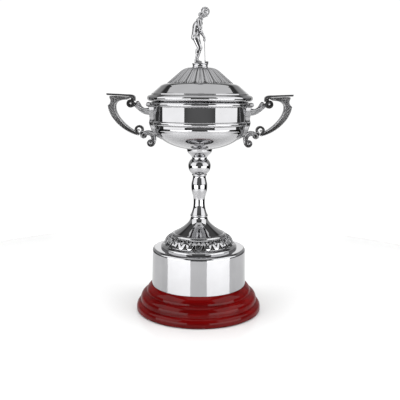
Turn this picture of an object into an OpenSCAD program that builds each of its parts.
// Covered presentation cup: a silver-plated bowl with two scroll handles on a
// turned stem and a red lacquered base, and a lift-off lid that carries a small
// golfer. One tie rod clamps the whole stem between the base and the bowl.
// Millimetres, +Z up. The origin is the centre of the base's underside, the
// handles lie in the X-Z plane and the front looks along -Y.

/* [Wooden base] */
// Radius of the base at its foot
base_r = 70; // [69:0.5:71]
// Height of the wooden base including its felt
base_h = 29.5; // [29:0.5:30]
// Thickness of the felt pad
felt_t = 0.8; // [0.6:0.1:1.5]

/* [Plinth] */
// Radius of the metal band where it stands on the wood
band_r = 52.8; // [52.6:0.1:53]
// Height of the top of the metal band
band_top = 71; // [71:0.1:71.2]

/* [Foot and stem] */
// Radius of the rim of the spun foot
foot_r = 42.5; // [42:0.1:43]
// Number of motifs in the cast border of the foot
border_motifs = 24; // [20:2:28]
// Radius of the ball knop
knop_r = 12.4; // [12:0.1:13.5]

/* [Bowl] */
// Outside radius of the straight wall of the bowl
bowl_r = 50.4; // [50.3:0.1:50.5]
// Height of the top edge of the bowl
bowl_top = 232.6; // [232.2:0.1:232.6]
// Sheet thickness of the bowl
bowl_t = 1; // [0.8:0.1:1.1]

/* [Handles] */
// Thickness of the cast handles
handle_t = 9; // [7:0.5:10]
// Width of the saddle that lies on the bowl
saddle_w = 11; // [10:0.5:14]

/* [Lid] */
// Outside radius of the bead round the lid
lid_r = 57.2; // [56.8:0.1:57.6]
// Number of leaves on the fluted cap
cap_leaves = 20; // [16:2:24]
// Radius of the figure's pedestal
pedestal_r = 8.75; // [8.5:0.05:9.5]

/* [Fastenings] */
// Radius of the tie rod through the stem
rod_r = 3; // [2.5:0.1:3.1]
// Radius of the stud under the figure
stud_r = 2; // [1.5:0.1:2]
// Radius of the handle screws
screw_r = 1.5; // [1.2:0.1:1.5]

/* [Hidden] */
$fn = 96;
silver = [0.78, 0.79, 0.81];
bright = [0.86, 0.87, 0.89];
steel = [0.6, 0.61, 0.63];
red_wood = [0.42, 0.02, 0.02];
core_wood = [0.72, 0.58, 0.4];
felt_green = [0.04, 0.13, 0.08];

rod_hole = rod_r + 0.3;
recess_r = 15;
recess_top = 11;
foot_top = 105.5;
stem_top = 151.5;
knop_low = 154.3;
knop_top = 171.5;
pan_z = 181.2;
pan_mid = 205;
pan_a = 49;
pan_b = 24.8;
neck_r = 49.1;
waist_low = 206.8;
waist_top = 211.7;
pan_top = 209;
rim_low = 226.6;
lid_low = 233;
lid_gap = 0.05;
cover_low = 239;
cover_top = 251.6;
cap_top = 268;
pedestal_top = 272.8;
screw_heights = [213.5, 221.5];

// ---- curves in the [radius, height] plane ----

// Points along an elliptical arc from angle a0 to a1
function arc(c, rx, rz, a0, a1, n = 8) =
    [for (i = [0:n]) let (a = a0 + (a1 - a0) * i / n) [c[0] + rx * cos(a), c[1] + rz * sin(a)]];

// Points along a cubic curve with end points a and d
function curve(a, b, c, d, n = 8) =
    [for (i = [0:n]) let (t = i / n, u = 1 - t)
        u * u * u * a + 3 * u * u * t * b + 3 * u * t * t * c + t * t * t * d];

function reversed(p) = [for (i = [len(p) - 1:-1:0]) p[i]];

module turned(profile) {
    rotate_extrude()
        polygon(profile);
}

module washer(r, hole, t) {
    difference() {
        cylinder(r = r, h = t);
        translate([0, 0, -1])
            cylinder(r = hole, h = t + 2);
    }
}

module hex_nut(flats, hole, h) {
    difference() {
        cylinder(r = flats / sqrt(3), h = h, $fn = 6);
        translate([0, 0, -1])
            cylinder(r = hole, h = h + 2);
    }
}

// ---- base and plinth ----

module base_felt() {
    color(felt_green)
        cylinder(r = base_r - 3, h = felt_t);
}

// Three stacked rounds, each standing out further than the one above
module wood_base() {
    lower_round = arc([base_r - 4.8, 3.8], 4.8, 6.2, 0, 86);
    middle_round = arc([base_r - 11.2, 12], 6.8, 8.9, 0, 86);
    upper_round = curve([base_r - 11.1, 21], [base_r - 11.4, 25],
                        [base_r - 14.4, base_h - 1.5], [base_r - 16.6, base_h]);
    color(red_wood)
        turned(concat([[recess_r, felt_t], [base_r - 0.3, felt_t], [base_r, felt_t + 0.3]],
                      lower_round, middle_round, upper_round,
                      [[rod_hole, base_h], [rod_hole, recess_top], [recess_r, recess_top]]));
}

module plinth_core() {
    core_r = band_r - 1.9;
    color(core_wood)
        turned([[rod_hole, base_h], [core_r, base_h], [core_r - 0.2, band_top - 4.6],
                [core_r - 1.2, band_top - 2.3], [core_r - 3.2, band_top - 0.8],
                [rod_hole, band_top - 0.8]]);
}

module plinth_band() {
    t = 0.8;
    shoulder = [band_r - 3.6, band_top - 3.4];
    color(bright)
        turned(concat([[band_r, base_h]], arc(shoulder, 3, 3.4, 0, 90),
                      [[rod_hole, band_top], [rod_hole, band_top - t]],
                      arc(shoulder, 3 - t, 3.4 - t, 90, 0), [[band_r - t, base_h]]));
}

// ---- foot ----

// The cone ends in a small roll; under the border the foot falls steeply, then
// turns out into a flat rim
border_seat = [[30.4, 85.2], [36.6, 79.6], [37.6, 75.1]];

module foot() {
    t = 0.8;
    cone = curve([9.4, foot_top - 0.7], [9.9, 99.8], [15, 95], [27.4, 87.8], 12);
    roll = arc([27.9, 85.7], 2.3, 1.9, 90, 5, 6);
    inside = curve([8.5, foot_top - 2.2], [9, 98.9], [14.3, 94], [26.8, 86.8], 12);
    color(bright)
        turned(concat([[rod_hole, foot_top], [9.4, foot_top]], cone, roll, border_seat,
                      curve([38.9, 75], [40.7, 74.4], [foot_r, 73.6], [foot_r, 72]),
                      [[foot_r, band_top], [foot_r - t, band_top], [foot_r - t, 72.2],
                       [39.8, 73.5], [36.6, 74.3], [35.7, 79.2], [29.4, 84.8]],
                      reversed(inside), [[rod_hole, foot_top - 2.2]]));
}

module foot_border() {
    crown = curve([31, 85.3], [35.2, 83.9], [39.2, 80.1], [38.9, 75.1]);
    color(silver)
        difference() {
            turned(concat([[border_seat[0][0] + 0.1, 85.4]], crown,
                          [border_seat[2], border_seat[1], border_seat[0]]));
            for (i = [0:border_motifs - 1])
                rotate([0, 0, (i + 0.5) * 360 / border_motifs])
                    translate([39.5, 0, 77.4])
                        rotate([0, 8, 0])
                            cylinder(r = 1.9, h = 3.4, $fn = 24);
        }
}

// ---- stem ----

module baluster_stem() {
    lip = arc([8.6, 107], 1.15, 1.5, -90, 55, 6);
    flare = curve([9.1, 108.6], [7.6, 111.5], [6.3, 116.5], [6.2, 121.5]);
    swell = curve([6.2, 124.5], [6.25, 129.5], [8.5, 132.5], [8.8, 138.5]);
    shoulder = curve([8.8, 141], [8.75, 144.5], [7.5, 146.5], [7.2, 150.2]);
    color(bright)
        turned(concat([[rod_hole, foot_top]], lip, flare, swell, shoulder,
                      [[7.4, stem_top], [rod_hole, stem_top]]));
}

module stem_collar() {
    mid = (stem_top + knop_low) / 2;
    half = (knop_low - stem_top) / 2;
    color(bright)
        turned(concat([[rod_hole, stem_top]], arc([7.1, mid], 1.2, half, -90, 90),
                      [[rod_hole, knop_low]]));
}

module knop() {
    centre = 162.8;
    color(bright)
        turned(concat([[rod_hole, knop_low]], arc([0, centre], knop_r, 12, -45, 0),
                      arc([0, centre], knop_r, 10.3, 6, 48),
                      [[8.3, 170.9], [8.3, knop_top], [rod_hole, knop_top]]));
}

module bowl_socket() {
    color(bright)
        turned(concat([[rod_hole, knop_top], [8.2, knop_top]],
                      curve([8.2, 172], [8.9, 174], [12.9, 176.2], [13.8, 179.3]),
                      [[14.1, pan_z], [rod_hole, pan_z]]));
}

// ---- bowl ----

// Outline of the rounded pan of the bowl, grown by g: a half oval that runs up into a
// short straight neck under the waist moulding
function pan(g) =
    let (low = -asin((pan_mid - pan_z) / pan_b))
    concat(arc([0, pan_mid], pan_a + g, pan_b + g, low, -asin(5 / pan_b), 13),
           curve([48.2 + g, 201], [neck_r - 0.3 + g, 202], [neck_r + g, 202.8],
                 [neck_r + g, 204.2], 4),
           [[neck_r + g, waist_low]]);

// Rounded lower half of the bowl; its upper edge is covered by the waist moulding
module bowl_pan() {
    color(bright)
        turned(concat([[rod_hole, pan_z]], pan(0),
                      [[bowl_r, waist_low + 1.5], [bowl_r, pan_top], [bowl_r - bowl_t, pan_top],
                       [bowl_r - bowl_t, waist_low + 1.5]], reversed(pan(-bowl_t)),
                      [[rod_hole, pan(-bowl_t)[0][1]]]));
}

// Straight upper wall, drilled for the handle screws
module bowl_wall() {
    color(bright)
        difference() {
            translate([0, 0, pan_top])
                cylinder(r = bowl_r, h = bowl_top - pan_top);
            translate([0, 0, pan_top - 1])
                cylinder(r = bowl_r - bowl_t, h = bowl_top - pan_top + 2);
            for (side = [-1, 1], z = screw_heights)
                translate([side * bowl_r, 0, z])
                    rotate([0, 90, 0])
                        cylinder(r = screw_r + 0.1, h = 8, center = true);
        }
}

module waist_band() {
    color(bright)
        turned(concat([[neck_r, waist_low], [51.2, waist_low + 0.6]],
                      arc([bowl_r + 0.1, 209.5], 1.7, 2.2, -64, 88),
                      [[bowl_r, waist_top], [bowl_r, waist_low + 1.5]]));
}

module rim_band() {
    mid = (rim_low + bowl_top) / 2;
    color(bright)
        turned(concat([[bowl_r, rim_low]], arc([bowl_r + 0.3, mid], 3.2, (bowl_top - rim_low) / 2,
                                               -88, 88, 12),
                      [[bowl_r, bowl_top]]));
}

// Everything a handle's saddle must lie outside of
module bowl_envelope() {
    g = 0.02;
    turned(concat([[0, pan_z - 1], [12, pan_z - 1]], pan(g),
                  [[neck_r + 0.3, waist_low - 0.1], [51.3, waist_low + 0.4], [bowl_r + 1.84, 208.7],
                   [bowl_r + 1.84, 210.3], [bowl_r + 1.2, waist_top + 0.1],
                   [bowl_r + g, waist_top + 0.1], [bowl_r + g, rim_low - 0.2],
                   [52.6, 226.9], [54, 228.4], [54, 230.8], [52.6, 232.4],
                   [52.6, lid_low], [0, lid_low]]));
}

// ---- handles ----

// The handle seen from the front, on the +X side
module handle_outline() {
    outer = concat([[99.3, 239]], curve([98.6, 238], [96.2, 235], [96.4, 230.6], [99.6, 227.4]),
                   curve([99.4, 226.6], [98.6, 217.5], [88, 200.5], [66.5, 195.2], 14));
    inner = concat(curve([71.3, 201.2], [82, 207.5], [90.8, 218.5], [90.8, 225.5], 12),
                   curve([90.8, 226], [90.8, 230.5], [85.5, 233.4], [79, 233.6]),
                   [[76.5, 235.6], [74, 238]]);
    // top plate
    polygon([[72.8, 237.2], [100.7, 238.8], [100.7, 240.6], [71, 239.1], [70.1, 237]]);
    // long bow
    polygon(concat(outer, inner));
    // upper volute and its neck
    translate([75.2, 230])
        circle(r = 4.9);
    polygon([[70.3, 230], [70.1, 237], [72.8, 238], [73.8, 230]]);
    // short arm to the bowl
    polygon([[71.5, 232], [67.5, 231.6], [65.2, 229.8], [63.6, 226.6], [60, 225.3], [54, 225.2],
             [54, 217.8], [58.5, 218.2], [62.5, 219.6], [66.2, 222.3], [71.5, 227]]);
    // web, hook, ball, ribbed arch and lower volute
    polygon([[66.5, 195.2], [62, 195.5], [63, 202], [68.6, 203.4], [71.3, 201.2]]);
    difference() {
        translate([65.4, 201.5])
            circle(r = 4.4);
        translate([66.8, 202.2])
            circle(r = 1.3, $fn = 32);
    }
    translate([61.3, 195.8])
        circle(r = 3.7);
    difference() {
        translate([56.2, 192.6])
            circle(r = 8.7);
        translate([56.2, 192.4])
            circle(r = 2.8);
        polygon([[56.2, 192.4], [40, 184], [40, 170], [70, 170], [70, 189], [58.6, 194]]);
    }
    polygon([[46.6, 193], [53.2, 191.8], [53.6, 187.7], [48.6, 187.7]]);
    translate([53.6, 187.7])
        circle(r = 5);
}

// Saddle that follows the bowl from under the lid to the tip of the lower leaf
module saddle_outline() {
    polygon([[44, 231.4], [56.4, 231.4], [58.3, 229.4], [57.6, 226.8], [55.2, 225.6], [54.6, 218],
             [54.3, 213.4], [54.9, 211.6], [54.9, 208.4], [53.4, 205.6], [52.2, 202.8], [51.2, 199.6],
             [48.6, 196.6], [45.6, 195], [41, 191.4], [40.2, 192.4], [44, 200]]);
}

module handle() {
    color(silver)
        difference() {
            rotate([90, 0, 0]) {
                linear_extrude(height = handle_t, center = true)
                    handle_outline();
                linear_extrude(height = saddle_w, center = true)
                    saddle_outline();
            }
            bowl_envelope();
            for (z = screw_heights)
                translate([49, 0, z])
                    rotate([0, 90, 0])
                        cylinder(r = screw_r + 0.1, h = 4.8);
        }
}

module right_handle() {
    handle();
}

module left_handle() {
    mirror([1, 0, 0])
        handle();
}

// Pan-head screws driven from inside the bowl
module handle_screws() {
    color(steel)
        for (side = [0, 1], z = screw_heights)
            mirror([side, 0, 0])
                translate([0, 0, z])
                    rotate([0, 90, 0])
                        difference() {
                            union() {
                                translate([0, 0, 46.2])
                                    cylinder(r1 = 2.4, r2 = 3, h = 2.35);
                                translate([0, 0, 48.4])
                                    cylinder(r = screw_r, h = 5.2);
                            }
                            translate([-2, -0.4, 46])
                                cube([4, 0.8, 1.2]);
                        }
}

module handle_washers() {
    color(steel)
        for (side = [0, 1], z = screw_heights)
            mirror([side, 0, 0])
                translate([48.6, 0, z])
                    rotate([0, 90, 0])
                        washer(3.5, screw_r + 0.1, 0.6);
}

// ---- tie rod and its nuts ----

module tie_rod() {
    color(steel)
        translate([0, 0, 3])
            cylinder(r = rod_r, h = 184.5);
}

module base_washer() {
    color(steel)
        translate([0, 0, recess_top - 1.6])
            washer(9, rod_r + 0.1, 1.6);
}

module base_nut() {
    color(steel)
        translate([0, 0, recess_top - 6.6])
            hex_nut(10, rod_r + 0.02, 5);
}

module bowl_washer() {
    color(steel)
        translate([0, 0, pan(-bowl_t)[0][1]])
            washer(9, rod_r + 0.1, 1.2);
}

// Domed nut that covers the end of the rod inside the bowl
module bowl_nut() {
    seat = pan(-bowl_t)[0][1] + 1.2;
    color(steel)
        difference() {
            union() {
                translate([0, 0, seat])
                    cylinder(r = 10 / sqrt(3), h = 3.4, $fn = 6);
                translate([0, 0, seat + 3.3])
                    turned(concat([[0, 0]], arc([0, 0], 4.6, 4, 0, 90, 6)));
            }
            translate([0, 0, seat - 1])
                cylinder(r = rod_r + 0.02, h = 187.6 - seat + 1);
        }
}

// ---- lid ----

// Inner ring that drops inside the rim of the bowl
module lid_ring() {
    outer_r = bowl_r - bowl_t - 0.5;
    color(silver)
        turned([[outer_r - 1, 226.5], [outer_r - 0.3, 226.5], [outer_r, 227.3],
                [outer_r, 238.6], [outer_r - 1, 238.6]]);
}

module lid_rim_band() {
    inner_r = bowl_r - bowl_t - 0.5 + lid_gap;
    half = (cover_low - lid_low) / 2;
    color(bright)
        turned(concat([[inner_r, lid_low]], arc([lid_r - half, lid_low + half], half, half, -90, 90, 12),
                      [[inner_r, cover_low]]));
}

module lid_cover() {
    color(bright)
        turned(concat([[51.6, cover_low], [55, cover_low]],
                      curve([54.3, 239.15], [53.1, 239.2], [52.5, 239.3], [52.45, 239.9], 4),
                      curve([52.4, 240.6], [52.3, 241], [51.8, 241], [51.1, 241.6], 4),
                      curve([44.9, 246.9], [42.7, 248.9], [41.3, 250.9], [35.5, cover_top]),
                      [[stud_r + 0.6, cover_top], [stud_r + 0.6, cover_top - 0.8]],
                      curve([35.2, cover_top - 0.8], [40.7, 250.1], [42.1, 248.2], [44.2, 246.3]),
                      curve([50.5, 240.8], [51, 240.4], [51.5, 240.2], [51.6, 239.7], 4)));
}

// Fluted dome: grooves run down between the leaves and open at their tips
module lid_cap() {
    slope = atan2(264.6 - 251.6, 35.5 - 20.4);
    color(silver)
        difference() {
            turned(concat([[stud_r + 0.6, cap_top], [11, cap_top]],
                          curve([11.6, 268], [15, 267.8], [18, 266.6], [20.4, 264.6], 6),
                          [[35.5, cover_top], [34.2, cover_top], [19.8, 263.9]],
                          curve([17.4, 265.6], [15.4, 266.5], [13, 266.9], [11.4, 267.1], 4),
                          [[stud_r + 0.6, 267.1]]));
            for (i = [0:cap_leaves - 1])
                rotate([0, 0, (i + 0.5) * 360 / cap_leaves])
                    translate([36.9, 0, 251.6])
                        rotate([0, -(90 - slope), 0])
                            cylinder(r1 = 1.9, r2 = 1.35, h = 22, $fn = 24);
        }
}

// ---- figure ----

module figure_pedestal() {
    waist = pedestal_r - 0.5;
    color(bright)
        turned(concat([[stud_r + 0.1, cap_top], [pedestal_r, cap_top], [pedestal_r, cap_top + 0.7]],
                      curve([waist, cap_top + 1.2], [waist - 0.2, cap_top + 2],
                            [waist - 0.2, cap_top + 2.8], [waist, cap_top + 3.6], 4),
                      [[pedestal_r, cap_top + 4.1], [pedestal_r, pedestal_top],
                       [0, pedestal_top], [0, pedestal_top - 0.8],
                       [stud_r + 0.1, pedestal_top - 0.8]]));
}

module limb(a, ra, b, rb) {
    hull() {
        translate(a)
            sphere(r = ra, $fn = 16);
        translate(b)
            sphere(r = rb, $fn = 16);
    }
}

module shoe(side) {
    hull() {
        translate([-5.2, side * 3.6, pedestal_top])
            cylinder(r = 1.3, h = 1.6, $fn = 16);
        translate([0.8, side * 4.2, pedestal_top])
            cylinder(r = 1.4, h = 1.2, $fn = 16);
    }
}

// Golfer bent over a putt, facing +X with the feet apart along Y
module golfer() {
    hands = [4.6, 0, 298];
    color(silver) {
        // head and neck
        translate([5.1, 0, 326])
            scale([1, 0.86, 1.12])
                sphere(r = 5, $fn = 24);
        limb([2.6, 0, 322.5], 2.2, [-0.4, 0, 318.6], 2.6);
        // chest, waist and seat
        hull() {
            translate([-1.4, 3.6, 316.2])
                sphere(r = 3.4, $fn = 16);
            translate([-1.4, -3.6, 316.2])
                sphere(r = 3.4, $fn = 16);
            translate([-4.8, 0, 307])
                scale([1, 1.25, 1])
                    sphere(r = 4.3, $fn = 16);
        }
        hull() {
            translate([-4.8, 0, 307])
                scale([1, 1.25, 1])
                    sphere(r = 4.3, $fn = 16);
            translate([-5, 0, 301])
                scale([1, 1.2, 1])
                    sphere(r = 4.8, $fn = 16);
        }
        for (side = [-1, 1]) {
            limb([-4.2, side * 2.8, 299.4], 3.7, [-0.6, side * 3.6, 289.4], 2.6);
            limb([-0.6, side * 3.6, 289.4], 2.6, [-2.4, side * 3.9, 275.4], 1.9);
            shoe(side);
            limb([-1, side * 5.9, 316.4], 2.3, [-0.4, side * 5.4, 307.6], 1.8);
            limb([-0.4, side * 5.4, 307.6], 1.8, hands, 1.3);
        }
        translate(hands)
            sphere(r = 1.7, $fn = 16);
    }
}

module golf_club() {
    heel = [5.2, 0, 273.9];
    grip = [4.2, 0, 301];
    lean = atan2(heel[0] - grip[0], grip[2] - heel[2]);
    color(bright) {
        translate(heel)
            rotate([0, -lean, 0])
                cylinder(r = 0.42, h = norm(grip - heel), $fn = 24);
        translate([4.7, -0.8, pedestal_top + 0.1])
            cube([4.2, 1.6, 2.2]);
    }
}

module figure_stud() {
    color(steel)
        translate([0, 0, 243.5])
            cylinder(r = stud_r, h = pedestal_top - 1 - 243.5);
}

module figure_washer() {
    color(steel)
        translate([0, 0, cover_top - 1.8])
            washer(8, stud_r + 0.1, 1);
}

module figure_nut() {
    color(steel)
        translate([0, 0, cover_top - 5])
            hex_nut(7, stud_r + 0.02, 3.2);
}

base_felt();
wood_base();
plinth_core();
plinth_band();
foot();
foot_border();
baluster_stem();
stem_collar();
knop();
bowl_socket();
bowl_pan();
bowl_wall();
waist_band();
rim_band();
left_handle();
right_handle();
handle_screws();
handle_washers();
tie_rod();
base_washer();
base_nut();
bowl_washer();
bowl_nut();
lid_ring();
lid_rim_band();
lid_cover();
lid_cap();
figure_pedestal();
golfer();
golf_club();
figure_stud();
figure_washer();
figure_nut();
